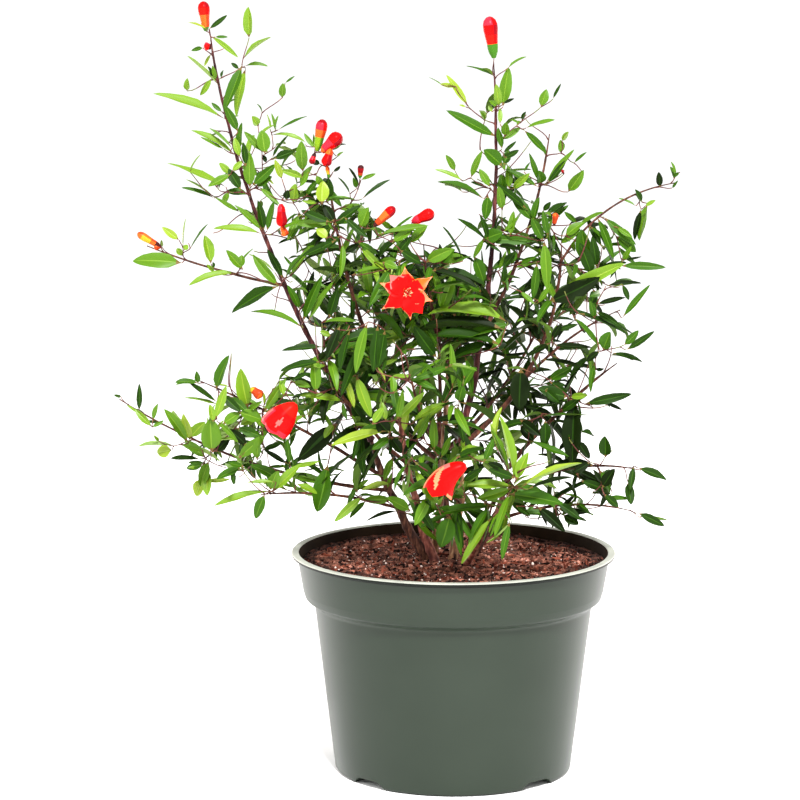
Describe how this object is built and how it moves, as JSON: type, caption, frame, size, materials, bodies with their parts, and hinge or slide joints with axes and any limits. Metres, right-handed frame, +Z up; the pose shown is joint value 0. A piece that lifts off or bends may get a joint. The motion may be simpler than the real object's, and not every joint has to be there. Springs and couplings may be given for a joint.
{
  "type": "pomegranate tree in a pot",
  "caption": "Young many-stemmed pomegranate bush in leaf and flower, growing in a round plastic nursery pot with a stepped collar and a flat lip.",
  "frame": {"origin": "centre of the pot's flat underside, on the ground", "axes": "+Z up along the pot's axis, +X to the right and +Y away from someone who looks at the bush's front"},
  "size_m": [0.4429, 0.3371, 0.5921],
  "materials": {
    "pot": "satin",
    "soil": "matte",
    "bark": "matte",
    "foliage": "satin",
    "blossom": "satin"
  },
  "bodies": {
    "root": {"pot": "pot", "soil": "soil", "stem_front": "bark", "stem_left": "bark", "stem_middle": "bark", "stem_outer": "bark", "stem_rear": "bark", "stem_right": "bark", "stem_young": "bark", "leader_left": "bark", "leader_right": "bark", "bough_bud_cluster": "bark", "bough_centre_top": "bark", "bough_front_centre": "bark", "bough_left_shoulder": "bark", "bough_rear_centre": "bark", "bough_rear_left": "bark", "bough_rear_right": "bark", "bough_right_outer": "bark", "bough_right_side": "bark", "bough_second_spire": "bark", "arm_front_low": "bark", "arm_front_right": "bark", "arm_left_front": "bark", "arm_left_high": "bark", "arm_left_low": "bark", "arm_left_lowest": "bark", "arm_rear_low": "bark", "arm_right_high": "bark", "arm_right_low": "bark", "arm_right_lowest": "bark", "arm_right_middle": "bark", "foliage_bud_cluster": "foliage", "foliage_centre_top": "foliage", "foliage_front_centre": "foliage", "foliage_front_low": "foliage", "foliage_front_right": "foliage", "foliage_left_arm": "foliage", "foliage_left_front": "foliage", "foliage_left_low": "foliage", "foliage_left_lowest": "foliage", "foliage_left_shoulder": "foliage", "foliage_left_spire_lower": "foliage", "foliage_left_spire_top": "foliage", "foliage_left_spire_upper": "foliage", "foliage_rear_centre": "foliage", "foliage_rear_left": "foliage", "foliage_rear_low": "foliage", "foliage_rear_right": "foliage", "foliage_right_arm": "foliage", "foliage_right_low": "foliage", "foliage_right_lowest": "foliage", "foliage_right_middle": "foliage", "foliage_right_shoulder": "foliage", "foliage_right_side": "foliage", "foliage_right_spire_lower": "foliage", "foliage_right_spire_top": "foliage", "foliage_second_spire": "foliage"}
  },
  "joints": []
}
